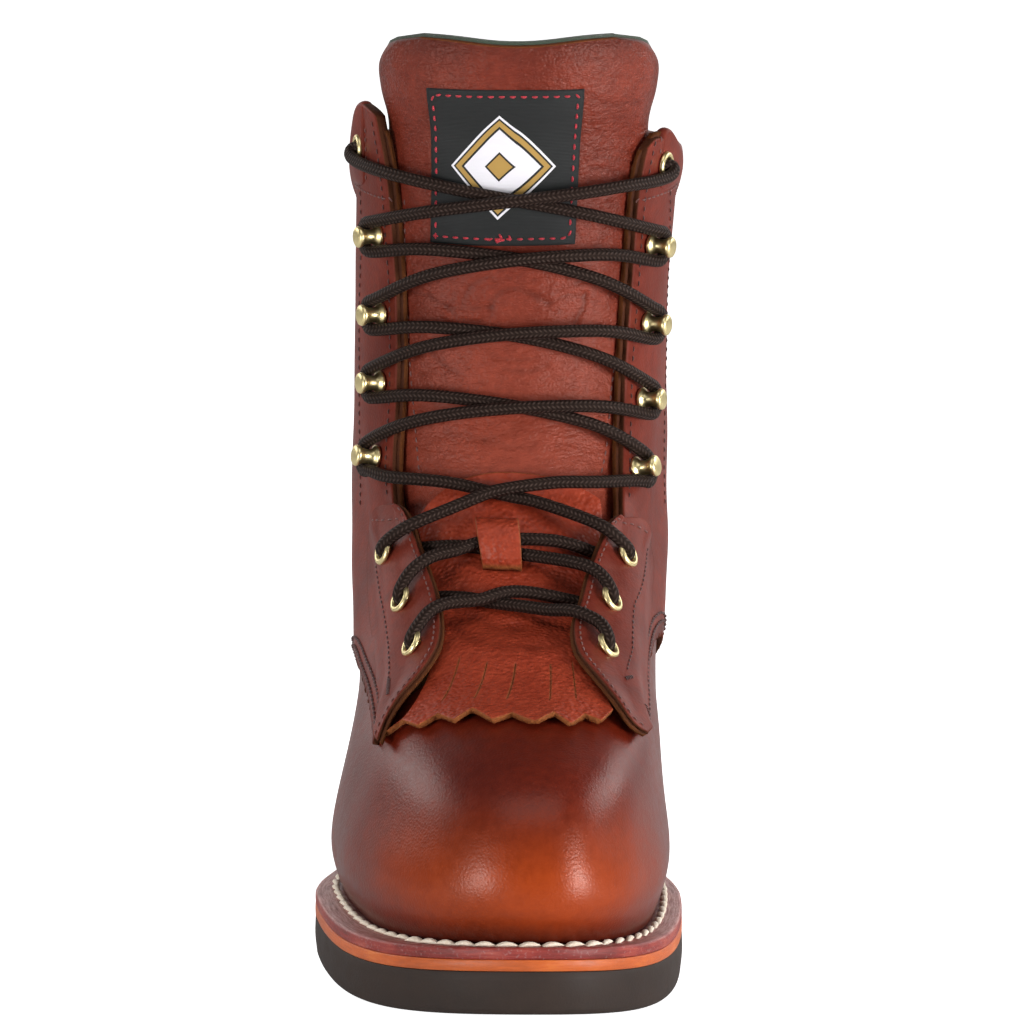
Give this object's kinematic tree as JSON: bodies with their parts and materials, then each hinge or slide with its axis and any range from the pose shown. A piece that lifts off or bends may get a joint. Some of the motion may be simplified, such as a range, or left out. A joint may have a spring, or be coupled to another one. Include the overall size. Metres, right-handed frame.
{
  "type": "work boot",
  "caption": "Right-foot lace-up leather work boot with a fringed false tongue, brass speed hooks and eyelets, stitched welt and rubber heel; stands empty on its sole.",
  "frame": {"origin": "on the floor, under the middle of the boot's box", "axes": "toe towards -Y, heel towards +Y, inner (medial) side towards +X, up +Z"},
  "size_m": [0.1186, 0.306, 0.2807],
  "materials": {
    "upper_leather": "smooth waxed leather",
    "tongue_leather": "pebbled soft leather",
    "welt_leather": "matt leather strip",
    "midsole_leather": "burnished leather edge",
    "insole_leather": "plain leather board",
    "sole_rubber": "matt black rubber",
    "brass": "polished",
    "lace_cord": "braided waxed cord"
  },
  "bodies": {
    "root": {"upper": "upper_leather", "collar": "upper_leather", "quarter_flap_lateral": "upper_leather", "quarter_flap_medial": "upper_leather", "tongue": "tongue_leather", "kiltie": "tongue_leather", "lace_keeper": "tongue_leather", "welt": "welt_leather", "midsole": "midsole_leather", "insole": "insole_leather", "outsole": "sole_rubber", "heel": "sole_rubber", "eyelet_lateral_1": "brass", "eyelet_lateral_2": "brass", "eyelet_lateral_3": "brass", "eyelet_lateral_top": "brass", "eyelet_medial_1": "brass", "eyelet_medial_2": "brass", "eyelet_medial_3": "brass", "eyelet_medial_top": "brass", "hook_lateral_1": "brass", "hook_lateral_2": "brass", "hook_lateral_3": "brass", "hook_lateral_4": "brass", "hook_medial_1": "brass", "hook_medial_2": "brass", "hook_medial_3": "brass", "hook_medial_4": "brass", "lace_low_crossing": "lace_cord", "lace_keeper_crossing": "lace_cord", "lace_hook_lacing": "lace_cord"}
  },
  "joints": []
}
